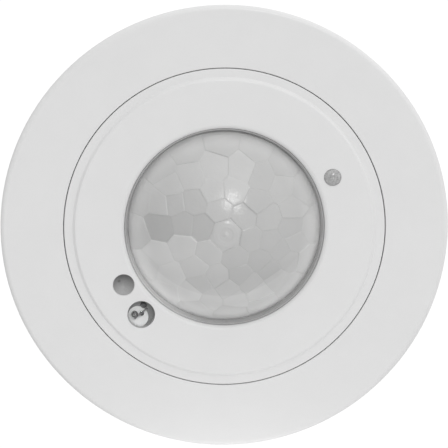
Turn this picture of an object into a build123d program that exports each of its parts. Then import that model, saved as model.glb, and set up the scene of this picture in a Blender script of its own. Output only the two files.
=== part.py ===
from build123d import *

import math
import os

os.makedirs("parts", exist_ok=True)

# Flush ceiling presence detector. Everything is first drawn in a working frame: Z is the axis, the
# panel it is mounted in has its face at Z = 0, the front looks along +Z and +Y is up in the front view.
# write() then turns it so that the front looks along -Y and up is +Z. Millimetres.

# --- driving dimensions ---
TRIM_R = 55.0  # outer trim ring
TRIM_BACK_R = 54.1  # its side draws in towards the panel from below its rounded edge
TRIM_WIDEST_Z = 3.4
TRIM_HIGH = 4.6
TRIM_WALL = 1.6
TRIM_EDGE_ROUND = 1.1
HEAD_R = 39.42  # sensor head seen inside the trim ring
GROOVE = 0.2  # gap between head and trim ring
FACE_Z = 5.3  # raised face of the head
STEP_OUTER_R = 37.3  # foot of the step up to the raised face
STEP_INNER_R = 36.7
OPENING_R = 24.6  # edge of the lens opening
OPENING_ROUND = 1.1
LIP_Z = 1.8  # underside of the opening's lip, which holds the lens's flange
BEZEL_R = 23.65  # smallest radius of the cone between the opening and the lens
LENS_R = 27.5  # sphere that the lens is part of
LENS_TOP = 15.2
LENS_WALL = 0.8
FLANGE_R = 50.0
FLANGE_SEAT_R = 33.2  # shoulder at the front of the can that the flange sits on
FLANGE_BACK = 0.8
FLANGE_FRONT = 2.4
SPIGOT_R = 33.7  # fills a 68 mm cut-out
SPIGOT_END = -5.5
CAN_R = 33.0
CAN_INNER_R = 31.2
CAN_END = -38.0
COVER_END = -39.8
BOARD_R = 30.6
BOARD_THICK = 1.6
SENSOR_BOARD_TOP = -8.0
POWER_BOARD_TOP = -24.4
SPACER_AT = (55, 125, 270)  # degrees round the axis
SPACER_PITCH_R = 25.0
LENS_SCREW_AT = (45, 180, 290)
LENS_SCREW_PITCH_R = 28.3
HOOK_AT = (80, 150, 250, 330)
COVER_SCREW_AT = (40, 140, 270)
COVER_SCREW_PITCH_R = 28.7
TAB_AT = (45, 135, 225, 315)
PIPE_PLACE = (29.25, 25.1)  # radius and degrees of the light pipe
LIGHT_PLACE = (28.56, 209.6)  # brightness sensor
RECEIVER_PLACE = (29.8, 226.4)  # clear infrared receiver
PIPE_R = 2.08
PIPE_DOME_R = 3.2  # sphere of the pipe's domed front
PIPE_DOME_HIGH = 0.75
LIGHT_HOLE_R = 2.65
RECEIVER_HOLE_R = 3.4
RECEIVER_FLOOR_Z = 2.9
RECEIVER_DOME_Z = FACE_Z - 1.85  # centre of the dome's rounded front
CLIP_PIN_X = 29.3
CLIP_PIN_Z = -10.0
CLIP_PIN_R = 1.0
CLIP_ANGLE = 16.4  # slope of the clip arms at rest, towards the panel
CLIP_LONG = 20.0
CLIP_WIDE = 9.0
CLIP_SHEET = 0.9
POCKET_X = 26.5  # floor of the clip pockets in the can
POCKET_WIDE = 15.0
POCKET_END = -33.0
POCKET_WALL = 1.6
POLE_PITCH = 5.4
POLES = 4
BLOCK_END = -40.6
WIRE_HOLE_R = 1.6
WIRE_HOLE_LONG = 9.6
WIRE_Y = -7.6
BUTTON_Y = -12.8
BUTTON_WIDE = 2.9
BUTTON_TRAVEL = 1.5
DIAL_X = 9.0
DIAL_Y = 12.0
DIAL_R = 2.9
DIAL_SHAFT_R = 1.2
RUNNING = 0.05

SENSOR_BOARD_END = SENSOR_BOARD_TOP - BOARD_THICK
POWER_BOARD_END = POWER_BOARD_TOP - BOARD_THICK
LENS_CENTRE_Z = LENS_TOP - LENS_R
LENS_FLANGE_TOP = LIP_Z - 0.1
LENS_FLANGE_END = LENS_FLANGE_TOP - LENS_WALL
LENS_FLANGE_R = 25.1
RETAINER_R = 26.0
HEADER_Y = -18.0
UNDERSIDE_Z = FACE_Z - 2.0
POLE_X = [POLE_PITCH * (i - (POLES - 1) / 2) for i in range(POLES)]


# --- helpers ---
def polar(radius, degrees):
    """The point at this radius and angle round the axis."""
    return radius * math.cos(math.radians(degrees)), radius * math.sin(math.radians(degrees))


def turned(points, rounds=()):
    """A solid of revolution from (radius, height) points, with (radius, height, fillet) corners rounded."""
    profile = make_face(Polyline(*[(r, 0, z) for r, z in points], close=True))
    for r, z, size in rounds:
        corner = profile.vertices().sort_by_distance((r, 0, z))[0]
        profile = fillet(corner, size)
    return revolve(profile, Axis.Z)


def rod(x, y, low, high, radius):
    """A cylinder along the axis direction from low to high."""
    return Pos(x, y, low) * Cylinder(radius, high - low, align=(Align.CENTER, Align.CENTER, Align.MIN))


def block(x, y, low, high, wide, deep):
    """A box centred on x, y from low to high."""
    return Pos(x, y, low) * Box(wide, deep, high - low, align=(Align.CENTER, Align.CENTER, Align.MIN))


def ring(inner, outer, low, high):
    return rod(0, 0, low, high, outer) - rod(0, 0, low - 1, high + 1, inner)


def around(angles, make):
    """One copy of make(degrees) for each angle, as one group."""
    group = make(angles[0])
    for degrees in angles[1:]:
        group = group + make(degrees)
    return group


def radial_block(inner, outer, degrees, wide, low, high):
    """A box from one radius to another, turned to the given angle."""
    middle = (inner + outer) / 2
    return Rot(Z=degrees) * block(middle, 0, low, high, outer - inner, wide)


def screw(x, y, seat, tip, head_r, shank_r, head_high):
    """A pan-head cross-slot screw whose head sits at seat and whose shank runs to tip."""
    up = 1 if seat > tip else -1
    head_end = seat + up * head_high
    head = rod(x, y, min(seat, head_end), max(seat, head_end), head_r)
    rim = [e for e in head.edges() if abs(e.center().Z - head_end) < 0.01]
    head = fillet(rim, head_high * 0.4)
    cut_low = min(head_end, head_end - up * head_high * 0.55)
    cut_high = cut_low + head_high * 0.55
    slot_wide = head_r * 0.28
    slot_long = head_r * 1.2
    head = head - block(x, y, cut_low, cut_high, slot_long, slot_wide)
    head = head - block(x, y, cut_low, cut_high, slot_wide, slot_long)
    return head + rod(x, y, min(seat, tip), max(seat, tip), shank_r)


# --- shells seen from the front ---
def make_trim_ring():
    inner_r = HEAD_R + GROOVE
    under = TRIM_HIGH - TRIM_WALL
    shell = turned(
        [
            (TRIM_BACK_R, 0),
            (TRIM_R, TRIM_WIDEST_Z),
            (TRIM_R, TRIM_HIGH),
            (inner_r, TRIM_HIGH),
            (inner_r, FLANGE_FRONT + 0.3),
            (inner_r + 1.2, FLANGE_FRONT + 0.3),
            (inner_r + 1.2, under),
            (TRIM_R - TRIM_WALL, under),
            (TRIM_R - TRIM_WALL, 0),
        ],
        [(TRIM_R, TRIM_HIGH, TRIM_EDGE_ROUND), (inner_r, TRIM_HIGH, 0.25)],
    )

    def tab(degrees):
        arm = radial_block(FLANGE_R + 0.3, FLANGE_R + 1.5, degrees, 9, 0.7, under + 0.2)
        nose = radial_block(FLANGE_R + 0.08, FLANGE_R + 0.4, degrees, 7, 0.7, 1.5)
        return arm + nose

    return shell + around(TAB_AT, tab)


def make_front_cover():
    cover = turned(
        [
            (HEAD_R, 2.6),
            (HEAD_R, TRIM_HIGH),
            (STEP_OUTER_R, TRIM_HIGH),
            (STEP_INNER_R, FACE_Z),
            (OPENING_R, FACE_Z),
            (OPENING_R, LIP_Z),
            (LENS_FLANGE_R + 0.2, LIP_Z),
            (LENS_FLANGE_R + 0.2, LENS_FLANGE_END),
            (27.8, LENS_FLANGE_END),
            (27.8, UNDERSIDE_Z),
            (35.3, UNDERSIDE_Z),
            (36.0, 2.9),
            (37.6, 2.9),
            (37.6, 2.6),
        ],
        [
            (HEAD_R, TRIM_HIGH, 0.25),
            (STEP_OUTER_R, TRIM_HIGH, 0.2),
            (STEP_INNER_R, FACE_Z, 0.35),
            (OPENING_R, FACE_Z, OPENING_ROUND),
        ],
    )

    def hook(degrees):
        arm = radial_block(29.7, 30.9, degrees, 7, -4.6, UNDERSIDE_Z + 0.2)
        nose = radial_block(30.7, 31.9, degrees, 6, -4.5, -3.3)
        return arm + nose

    def boss(degrees):
        return rod(*polar(LENS_SCREW_PITCH_R, degrees), LENS_FLANGE_END, UNDERSIDE_Z + 0.2, 2.0)

    def pilot(degrees):
        return rod(*polar(LENS_SCREW_PITCH_R, degrees), LENS_FLANGE_END - 0.1, 4.0, 0.85)

    cover = cover + around(HOOK_AT, hook) + around(LENS_SCREW_AT, boss)
    cover = cover + rod(*polar(*LIGHT_PLACE), 2.6, UNDERSIDE_Z + 0.2, LIGHT_HOLE_R + 0.5)
    cover = cover + rod(*polar(*RECEIVER_PLACE), 2.5, UNDERSIDE_Z + 0.2, RECEIVER_HOLE_R + 0.5)
    cover = cover - around(LENS_SCREW_AT, pilot)
    cover = cover - rod(*polar(*PIPE_PLACE), 0, 7, PIPE_R + 0.05)
    cover = cover - rod(*polar(*LIGHT_PLACE), 0, 7, LIGHT_HOLE_R)
    cover = cover - rod(*polar(*RECEIVER_PLACE), RECEIVER_FLOOR_Z, 7, RECEIVER_HOLE_R)
    return cover - lead_pair(RECEIVER_PLACE, 2, RECEIVER_FLOOR_Z + 0.5, radius=0.35)


def make_lens_bezel():
    """Conical ring between the opening and the lens, standing on the lens's flange."""
    outer_r = OPENING_R - 0.1
    high = FACE_Z - OPENING_ROUND - 0.1
    return turned(
        [
            (BEZEL_R + 0.1, LIP_Z),
            (BEZEL_R, LIP_Z + 0.2),
            (outer_r - 0.25, high),
            (outer_r, high),
            (outer_r, LIP_Z),
        ]
    )


def make_lens():
    dome = Pos(0, 0, LENS_CENTRE_Z) * (Sphere(LENS_R) - Sphere(LENS_R - LENS_WALL))
    dome = dome & rod(0, 0, LENS_FLANGE_END, LENS_TOP + 1, LENS_R)
    foot_r = math.sqrt(LENS_R**2 - (LENS_FLANGE_TOP - LENS_CENTRE_Z) ** 2)
    return dome + ring(foot_r - 0.5, LENS_FLANGE_R, LENS_FLANGE_END, LENS_FLANGE_TOP)


def make_lens_retainer():
    low = LENS_FLANGE_END - 1.2
    high = LENS_FLANGE_END
    frame = ring(22.8, RETAINER_R, low, high)

    def ear(degrees):
        x, y = polar(LENS_SCREW_PITCH_R, degrees)
        return rod(x, y, low, high, 2.3) + radial_block(24, LENS_SCREW_PITCH_R, degrees, 4.6, low, high)

    def hole(degrees):
        return rod(*polar(LENS_SCREW_PITCH_R, degrees), low - 1, high + 1, 1.0)

    return frame + around(LENS_SCREW_AT, ear) - around(LENS_SCREW_AT, hole)


def make_lens_screws():
    seat = LENS_FLANGE_END - 1.2

    def one(degrees):
        x, y = polar(LENS_SCREW_PITCH_R, degrees)
        return screw(x, y, seat, 3.6, 1.8, 0.8, 1.1)

    return around(LENS_SCREW_AT, one)


# --- light pipe, brightness sensor and infrared receiver ---
def make_light_pipe():
    x, y = polar(*PIPE_PLACE)
    top = FACE_Z + PIPE_DOME_HIGH
    dome = Pos(x, y, top - PIPE_DOME_R) * Sphere(PIPE_DOME_R)
    head = rod(x, y, 3.0, top, PIPE_R) & (dome + rod(x, y, 2.0, FACE_Z - 0.2, PIPE_R + 1))
    return head + rod(x, y, SENSOR_BOARD_TOP + 1.2, 3.0, 1.3)


def make_status_led():
    x, y = polar(PIPE_PLACE[0] - 0.6, PIPE_PLACE[1])
    return block(x, y, SENSOR_BOARD_TOP, SENSOR_BOARD_TOP + 0.9, 2.0, 1.4)


def lead_pair(place, low, high, gap=1.27, radius=0.25):
    """Two leads side by side at a place on the board, parallel to the axis."""
    turn = Rot(Z=place[1]) * Pos(place[0], 0, 0)
    return turn * (rod(0, -gap, low, high, radius) + rod(0, gap, low, high, radius))


def make_light_sensor():
    x, y = polar(*LIGHT_PLACE)
    front = FACE_Z - 0.1
    bowl_deep = 1.5
    bowl_r = LIGHT_HOLE_R - 0.2
    sphere_r = (bowl_r**2 + bowl_deep**2) / (2 * bowl_deep)
    barrel = rod(x, y, 1.1, front, LIGHT_HOLE_R - 0.08)
    barrel = barrel - Pos(x, y, front - bowl_deep + sphere_r) * Sphere(sphere_r)
    return barrel + lead_pair(LIGHT_PLACE, SENSOR_BOARD_END - 0.8, 1.2)


def make_receiver_frame():
    """Stamped lead frame: two leads, a cup that carries the chip and the post beside it."""
    turn = Rot(Z=RECEIVER_PLACE[1]) * Pos(RECEIVER_PLACE[0], 0, 0)
    leads = lead_pair(RECEIVER_PLACE, SENSOR_BOARD_END - 0.8, RECEIVER_DOME_Z + 0.3)
    cup = Pos(0, -0.75, RECEIVER_DOME_Z) * Box(1.5, 2.0, 0.5)
    post = Pos(0, 1.35, RECEIVER_DOME_Z + 0.4) * Box(0.7, 0.7, 1.2)
    return leads + turn * (cup + post)


def make_receiver_chip():
    turn = Rot(Z=RECEIVER_PLACE[1]) * Pos(RECEIVER_PLACE[0], 0, 0)
    return turn * (Pos(0, -0.75, RECEIVER_DOME_Z + 0.4) * Box(0.9, 0.9, 0.3))


def make_receiver_dome():
    x, y = polar(*RECEIVER_PLACE)
    dome_r = RECEIVER_HOLE_R - 0.15
    body = rod(x, y, RECEIVER_FLOOR_Z + 0.05, RECEIVER_DOME_Z, dome_r)
    cap = Pos(x, y, RECEIVER_DOME_Z) * Sphere(dome_r)
    cap = cap & rod(x, y, RECEIVER_DOME_Z, RECEIVER_DOME_Z + dome_r, dome_r + 1)
    return body + cap - make_receiver_frame() - make_receiver_chip()


# --- housing ---
def pocket(side, grow, low, high):
    """The clip pocket's space, or its outside when grown by the wall."""
    floor = POCKET_X - grow
    middle = side * (floor + 36) / 2
    return block(middle, 0, low, high, 36 - floor, POCKET_WIDE + 2 * grow)


def make_housing():
    can = turned(
        [
            (CAN_INNER_R, FLANGE_FRONT),
            (FLANGE_SEAT_R, FLANGE_FRONT),
            (FLANGE_SEAT_R, FLANGE_BACK),
            (SPIGOT_R, FLANGE_BACK),
            (SPIGOT_R, SPIGOT_END),
            (CAN_R, SPIGOT_END - 0.7),
            (CAN_R, CAN_END),
            (CAN_INNER_R, CAN_END),
        ]
    )
    can = can + ring(29.4, CAN_INNER_R + 0.2, POWER_BOARD_END - 2.0, POWER_BOARD_END)
    inside = rod(0, 0, CAN_END, FLANGE_FRONT, CAN_INNER_R + 0.3)
    for side in (-1, 1):
        shell = pocket(side, POCKET_WALL, POCKET_END - POCKET_WALL, SPIGOT_END + 1.4)
        can = can + (shell & inside)
        can = can - pocket(side, 0, POCKET_END, SPIGOT_END - 0.1)
        pin_hole = Pos(side * CLIP_PIN_X, 0, CLIP_PIN_Z) * Rot(X=90) * Cylinder(CLIP_PIN_R + 0.01, 40)
        can = can - (pin_hole & Pos(0, 0, CLIP_PIN_Z) * Box(80, POCKET_WIDE + 3.0, 4))

    def boss(degrees):
        x, y = polar(COVER_SCREW_PITCH_R, degrees)
        return rod(x, y, CAN_END, -30.5, 3.0) - rod(x, y, CAN_END - 1, -32, 1.0)

    def hook_window(degrees):
        return radial_block(30, 32.2, degrees, 6.6, -4.8, -3.1)

    can = can + (around(COVER_SCREW_AT, boss) & rod(0, 0, CAN_END, 0, CAN_R - 0.5))
    return can - around(HOOK_AT, hook_window)


def make_mounting_flange():
    plate = turned(
        [
            (FLANGE_SEAT_R + 0.03, FLANGE_FRONT),
            (FLANGE_R, FLANGE_FRONT),
            (FLANGE_R, FLANGE_BACK),
            (FLANGE_SEAT_R + 0.03, FLANGE_BACK),
        ],
        [(FLANGE_R, FLANGE_FRONT, 0.5)],
    )
    rib = ring(41.5, 42.5, FLANGE_FRONT - 0.1, FLANGE_FRONT + 0.35)
    return plate + rib


def make_flange_gasket():
    return ring(34.9, 47.0, 0, FLANGE_BACK)


def make_rear_cover():
    plate = turned(
        [
            (0, COVER_END),
            (CAN_R, COVER_END),
            (CAN_R, CAN_END),
            (CAN_INNER_R - 0.2, CAN_END),
            (CAN_INNER_R - 0.2, CAN_END + 1.8),
            (29.7, CAN_END + 1.8),
            (29.7, CAN_END),
            (0, CAN_END),
        ],
        [(CAN_R, COVER_END, 0.6)],
    )

    def relief(degrees):
        return rod(*polar(COVER_SCREW_PITCH_R, degrees), CAN_END, CAN_END + 3, 3.3)

    def screw_hole(degrees):
        x, y = polar(COVER_SCREW_PITCH_R, degrees)
        return rod(x, y, COVER_END - 1, CAN_END + 1, 1.2) + rod(x, y, COVER_END - 1, COVER_END + 1.2, 2.4)

    plate = plate - around(COVER_SCREW_AT, relief) - around(COVER_SCREW_AT, screw_hole)
    block_wide = POLE_PITCH * POLES + 1.8
    plate = plate - block(0, -10, COVER_END - 1, CAN_END + 1, block_wide + 0.4, 12.4)
    for side in (-1, 1):
        plate = plate - rod(side * DIAL_X, DIAL_Y, COVER_END - 1, CAN_END + 1, DIAL_R + 0.3)
    return plate


def make_cover_screws():
    def one(degrees):
        x, y = polar(COVER_SCREW_PITCH_R, degrees)
        return screw(x, y, COVER_END + 1.2, -33.0, 2.2, 0.98, 1.1)

    return around(COVER_SCREW_AT, one)


# --- boards and what is on them ---
def board(top):
    disc = rod(0, 0, top - BOARD_THICK, top, BOARD_R)
    for side in (-1, 1):
        disc = disc - pocket(side, POCKET_WALL + 0.3, top - 3, top + 1)
    holes = around(SPACER_AT, lambda d: rod(*polar(SPACER_PITCH_R, d), top - 3, top + 1, 1.2))
    return disc - holes


def header_pin(i, radius):
    return rod((i - 2.5) * 2.54, HEADER_Y, POWER_BOARD_END - 1.0, SENSOR_BOARD_TOP + 1.0, radius)


def header_pins(radius):
    return around(range(6), lambda i: header_pin(i, radius))


def make_sensor_board():
    plate = board(SENSOR_BOARD_TOP) - header_pins(0.45)
    for place in (LIGHT_PLACE, RECEIVER_PLACE):
        plate = plate - lead_pair(place, SENSOR_BOARD_END - 1, SENSOR_BOARD_TOP + 1, radius=0.35)
    return plate - pyro_pins(0.35)


def make_power_board():
    return board(POWER_BOARD_TOP) - header_pins(0.45)


def make_board_header():
    body = block(0, HEADER_Y, POWER_BOARD_TOP, SENSOR_BOARD_END, 16.0, 2.6)
    return body - header_pins(0.36)


def make_board_spacers():
    def one(degrees):
        x, y = polar(SPACER_PITCH_R, degrees)
        across = 5.0
        post = extrude(RegularPolygon(across / 2, 6, major_radius=False), SENSOR_BOARD_END - POWER_BOARD_TOP)
        post = Pos(x, y, POWER_BOARD_TOP) * post
        return post - rod(x, y, POWER_BOARD_TOP - 1, SENSOR_BOARD_END + 1, 1.0)

    return around(SPACER_AT, one)


def make_board_screws(seat, tip):
    return around(
        SPACER_AT,
        lambda d: screw(*polar(SPACER_PITCH_R, d), seat, tip, 2.3, 0.98, 1.5),
    )


def pyro_pins(radius):
    group = None
    for degrees in (45, 165, 285):
        x, y = polar(2.54, degrees)
        pin = rod(x, y, SENSOR_BOARD_END - 1.2, SENSOR_BOARD_TOP, radius)
        group = pin if group is None else group + pin
    return group


def make_pyro_base():
    return rod(0, 0, SENSOR_BOARD_TOP, SENSOR_BOARD_TOP + 0.6, 4.6)


def make_pyro_can():
    low = SENSOR_BOARD_TOP + 0.6
    high = low + 3.7
    shell = rod(0, 0, low, high, 4.15) - rod(0, 0, low - 1, high - 0.25, 3.9)
    shell = fillet(shell.edges().group_by(Axis.Z)[-1], 0.2)
    return shell - block(0, 0, high - 1, high + 1, 4.0, 3.0)


def make_pyro_window():
    high = SENSOR_BOARD_TOP + 0.6 + 3.7 - 0.25
    return block(0, 0, high - 0.4, high, 4.8, 3.8)


def make_pyro_elements():
    z = SENSOR_BOARD_TOP + 0.6
    return block(-1, 0, z, z + 0.5, 1.0, 2.0) + block(1, 0, z, z + 0.5, 1.0, 2.0)


def make_sensor_shade():
    shade = ring(6.0, 7.2, SENSOR_BOARD_TOP, SENSOR_BOARD_TOP + 3.4)
    return fillet(shade.edges().group_by(Axis.Z)[-1], 0.3)


def make_controller_chip():
    return block(-9, 3, SENSOR_BOARD_END - 1.0, SENSOR_BOARD_END, 7.0, 7.0)


def make_relay():
    case = block(9, 7, POWER_BOARD_TOP, POWER_BOARD_TOP + 12.4, 18.0, 10.0)
    return fillet(case.edges().group_by(Axis.Z)[-1], 0.6)


def make_transformer_core():
    z = POWER_BOARD_TOP
    outer = block(-10, 8, z, z + 11, 12.5, 11)
    return outer - block(-10, 8, z - 1, z + 12, 6.5, 7.5)


def make_transformer_coil():
    z = POWER_BOARD_TOP
    return fillet(block(-10, 8, z + 0.5, z + 10.5, 6.3, 7.3).edges().filter_by(Axis.Z), 1.5)


def make_capacitor():
    can = rod(11, -8, POWER_BOARD_TOP, POWER_BOARD_TOP + 12, 4.0)
    return fillet(can.edges().group_by(Axis.Z)[-1], 0.5)


def make_surge_disc():
    return Pos(-14, -8, POWER_BOARD_TOP + 4.6) * Rot(X=90) * Cylinder(4.2, 3.2)


def make_fuse():
    tube = Pos(-3, -8, POWER_BOARD_TOP + 2.2) * Rot(X=90) * Cylinder(1.9, 8.5)
    return tube


# --- terminals and setting dials at the back ---
def make_terminal_block():
    wide = POLE_PITCH * POLES + 1.8
    body = block(0, -10, BLOCK_END, POWER_BOARD_END, wide, 12.0)
    body = chamfer(body.edges().group_by(Axis.Z)[0], 0.4)
    for x in POLE_X:
        body = body - rod(x, WIRE_Y, BLOCK_END - 1, BLOCK_END + WIRE_HOLE_LONG, WIRE_HOLE_R)
        body = body - block(x, BUTTON_Y, BLOCK_END - 1, BLOCK_END + 7.6, 3.1, 3.1)
        body = body - block(x, WIRE_Y, BLOCK_END + WIRE_HOLE_LONG, POWER_BOARD_END + 1, 3.7, 3.2)
    return body


def make_terminal_contacts():
    low = BLOCK_END + WIRE_HOLE_LONG + 0.2
    group = None
    for x in POLE_X:
        cage = block(x, WIRE_Y, low, POWER_BOARD_END - 0.2, 3.4, 2.9)
        cage = cage - block(x, WIRE_Y, low - 1, POWER_BOARD_END - 0.8, 2.6, 2.1)
        group = cage if group is None else group + cage
    return group


def make_terminal_button(x):
    button = block(x, BUTTON_Y, BLOCK_END - 0.9, BLOCK_END + 5.6, BUTTON_WIDE, BUTTON_WIDE)
    button = fillet(button.edges().group_by(Axis.Z)[0], 0.3)
    return button - block(x, BUTTON_Y, BLOCK_END - 1, BLOCK_END - 0.4, 2.0, 0.6)


def make_dial_bases():
    group = None
    for side in (-1, 1):
        x = side * DIAL_X
        base = block(x, DIAL_Y, POWER_BOARD_END - 5.0, POWER_BOARD_END, 6.6, 6.6)
        base = base - rod(x, DIAL_Y, POWER_BOARD_END - 6, POWER_BOARD_END - 1.0, DIAL_SHAFT_R + RUNNING)
        group = base if group is None else group + base
    return group


def make_dial(side):
    x = side * DIAL_X
    low = COVER_END + 0.5
    knob = rod(x, DIAL_Y, low, low + 3.0, DIAL_R)
    knob = fillet(knob.edges().group_by(Axis.Z)[0], 0.3)
    knob = knob - block(x, DIAL_Y, low - 1, low + 1.0, 4.4, 0.9)
    knob = knob - block(x, DIAL_Y, low - 1, low + 1.0, 0.9, 2.0)
    return knob + rod(x, DIAL_Y, low + 3.0, POWER_BOARD_END - 1.3, DIAL_SHAFT_R)


# --- spring clips; drawn along +X from the pin's axis, with Z towards the panel ---
def clip_place(side):
    lift = Pos(CLIP_PIN_X, 0, CLIP_PIN_Z) * Rot(Y=-CLIP_ANGLE)
    return lift if side > 0 else Rot(Z=180) * lift


def along_y(radius, wide):
    return Rot(X=90) * Cylinder(radius, wide)


def arm_sheet():
    """The flat of the arm, with its turned-up end."""
    low = 1.0
    middle = CLIP_LONG / 2
    flat = block(middle, 0, low, low + CLIP_SHEET, CLIP_LONG, CLIP_WIDE)
    return fillet(flat.edges().filter_by(Axis.Z).group_by(Axis.X)[-1], 2.0)


def make_clip_arm(side):
    hub = along_y(CLIP_PIN_R + 0.9, CLIP_WIDE)
    bore = along_y(CLIP_PIN_R + 0.03, CLIP_WIDE + 2)
    rib = block(8.5, 0, 1.8, 2.4, 9.0, 2.4)
    return clip_place(side) * (hub + arm_sheet() + rib - bore)


def make_clip_pad(side):
    sleeve = block(CLIP_LONG - 2.0, 0, 0.4, 2.6, 7.0, CLIP_WIDE + 1.4)
    sleeve = fillet(sleeve.edges().filter_by(Axis.Z).group_by(Axis.X)[-1], 2.4)
    sleeve = sleeve - block(CLIP_LONG / 2, 0, 0.95, 1.95, CLIP_LONG + 0.1, CLIP_WIDE + 0.1)
    return clip_place(side) * sleeve


def make_clip_spring(side):
    """Double torsion spring as the tubes its coils fill, with the loop that pushes the arm."""
    wire = 0.3
    bar_z = 0.62
    reach = 9.0
    loop = Pos(reach, 0, bar_z) * along_y(wire, 11.0)
    for end in (-1, 1):
        coil = along_y(1.9, 2.2) - along_y(CLIP_PIN_R + 0.12, 3)
        leg = Pos(reach / 2 + 0.65, end * 5.2, bar_z) * Rot(Y=90) * Cylinder(wire, reach - 1.3)
        loop = loop + Pos(0, end * 6.0, 0) * coil + leg
    return clip_place(side) * loop


def make_clip_pins():
    pins = [
        Pos(side * CLIP_PIN_X, 0, CLIP_PIN_Z) * along_y(CLIP_PIN_R, POCKET_WIDE + 2.8)
        for side in (-1, 1)
    ]
    return pins[0] + pins[1]


# --- writing ---
def write(name, shape):
    export_step(Rot(X=90) * shape, f"parts/{name}.step")


write("trim_ring", make_trim_ring())
write("front_cover", make_front_cover())
write("lens_bezel", make_lens_bezel())
write("lens_dome", make_lens())
write("lens_retainer", make_lens_retainer())
write("lens_screws", make_lens_screws())
write("led_light_pipe", make_light_pipe())
write("status_led", make_status_led())
write("light_sensor", make_light_sensor())
write("receiver_dome", make_receiver_dome())
write("receiver_frame", make_receiver_frame())
write("receiver_chip", make_receiver_chip())
write("housing", make_housing())
write("mounting_flange", make_mounting_flange())
write("flange_gasket", make_flange_gasket())
write("rear_cover", make_rear_cover())
write("rear_cover_screws", make_cover_screws())
write("sensor_board", make_sensor_board())
write("power_board", make_power_board())
write("board_header", make_board_header())
write("header_pins", header_pins(0.32))
write("board_spacers", make_board_spacers())
write("front_board_screws", make_board_screws(SENSOR_BOARD_TOP, -14.0))
write("rear_board_screws", make_board_screws(POWER_BOARD_END, -20.0))
write("pyro_pins", pyro_pins(0.25))
write("pyro_base", make_pyro_base())
write("pyro_can", make_pyro_can())
write("pyro_window", make_pyro_window())
write("pyro_elements", make_pyro_elements())
write("sensor_shade", make_sensor_shade())
write("controller_chip", make_controller_chip())
write("relay", make_relay())
write("transformer_core", make_transformer_core())
write("transformer_coil", make_transformer_coil())
write("smoothing_capacitor", make_capacitor())
write("surge_disc", make_surge_disc())
write("fuse", make_fuse())
write("terminal_block", make_terminal_block())
write("terminal_contacts", make_terminal_contacts())
for number, pole_x in enumerate(POLE_X, 1):
    write(f"terminal_button_{number}", make_terminal_button(pole_x))
write("dial_bases", make_dial_bases())
write("time_dial", make_dial(-1))
write("light_dial", make_dial(1))
write("clip_pins", make_clip_pins())
for side, word in ((-1, "left"), (1, "right")):
    write(f"clip_arm_{word}", make_clip_arm(side))
    write(f"clip_pad_{word}", make_clip_pad(side))
    write(f"clip_spring_{word}", make_clip_spring(side))
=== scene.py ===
import math

import bmesh
import bpy
import numpy as np
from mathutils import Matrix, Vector


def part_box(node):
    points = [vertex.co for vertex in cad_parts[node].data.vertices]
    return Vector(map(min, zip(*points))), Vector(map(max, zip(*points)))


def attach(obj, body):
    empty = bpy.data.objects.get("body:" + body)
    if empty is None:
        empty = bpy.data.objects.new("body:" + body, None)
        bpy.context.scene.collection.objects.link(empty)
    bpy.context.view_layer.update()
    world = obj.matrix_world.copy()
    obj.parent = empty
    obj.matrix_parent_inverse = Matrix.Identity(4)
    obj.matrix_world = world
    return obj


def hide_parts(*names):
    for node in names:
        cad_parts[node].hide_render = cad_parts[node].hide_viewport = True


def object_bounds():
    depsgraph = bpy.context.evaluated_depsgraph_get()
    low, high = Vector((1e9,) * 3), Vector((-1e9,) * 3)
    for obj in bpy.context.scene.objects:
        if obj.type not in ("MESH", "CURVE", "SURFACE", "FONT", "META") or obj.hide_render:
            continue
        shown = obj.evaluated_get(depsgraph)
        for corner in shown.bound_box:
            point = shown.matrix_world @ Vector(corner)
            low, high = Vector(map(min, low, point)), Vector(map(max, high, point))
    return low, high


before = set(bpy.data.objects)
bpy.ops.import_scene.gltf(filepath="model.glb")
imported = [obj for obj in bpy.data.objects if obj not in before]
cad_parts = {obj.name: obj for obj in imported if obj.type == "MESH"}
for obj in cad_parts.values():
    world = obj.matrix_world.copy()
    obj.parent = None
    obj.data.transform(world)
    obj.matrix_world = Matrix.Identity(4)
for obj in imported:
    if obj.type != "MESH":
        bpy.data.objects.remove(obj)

cad_low, cad_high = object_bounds()

MM = 0.001
TAU = 2 * math.pi

# The detector's axis is Y: the front looks along -Y, up is +Z, and the panel face is the plane y = 0.
# Pieces made here are drawn in working coordinates (x right, y up, z out of the front), in millimetres.


def to_row(points):
    """Working millimetres to the row frame in metres."""
    p = np.asarray(points, float).reshape(-1, 3)
    return np.stack([p[:, 0], -p[:, 2], p[:, 1]], axis=1) * MM


def polar(radius, degrees):
    a = math.radians(degrees)
    return radius * math.cos(a), radius * math.sin(a)


def smoothstep(edge0, edge1, x):
    t = np.clip((x - edge0) / (edge1 - edge0), 0, 1)
    return t * t * (3 - 2 * t)


def link(name, data):
    """A new object in the scene."""
    made = bpy.data.objects.new(name, data)
    bpy.context.scene.collection.objects.link(made)
    return made


# --------------------------------------------------------------------------------------------------
# Camera, lights, floor
# --------------------------------------------------------------------------------------------------

CAMERA_DISTANCE = 1.2
CAMERA_RIGHT = -1.8  # degrees round the object
CAMERA_UP = 10.6  # degrees above the axis
FRAME_SHARE = 0.9962  # share of the frame's width that the trim ring fills
AIM = (0.0, 0.0, -0.02 * MM)
FILM_WIDTH = 36.0

WORLD_LEVEL = 0.638  # light from straight ahead
WORLD_UP = 0.41  # how much brighter it gets upwards
WORLD_RIGHT = 0.17
BACKDROP = 1.05  # what the camera itself sees behind the object

SOFTBOX_RIGHT = 9.0
SOFTBOX_UP = 25.0
SOFTBOX_DISTANCE = 1.3
SOFTBOX_SIZE = 0.08
SOFTBOX_POWER = 2.6

STRIP_LONG = 60 * MM
STRIP_WIDE = 8 * MM
STRIP_POWER = 0.002
STRIP_PLACE = (0, -12 * MM, -70 * MM)
STRIP_TILT = 130  # degrees: up and back, onto the trim ring's lower edge

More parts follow.
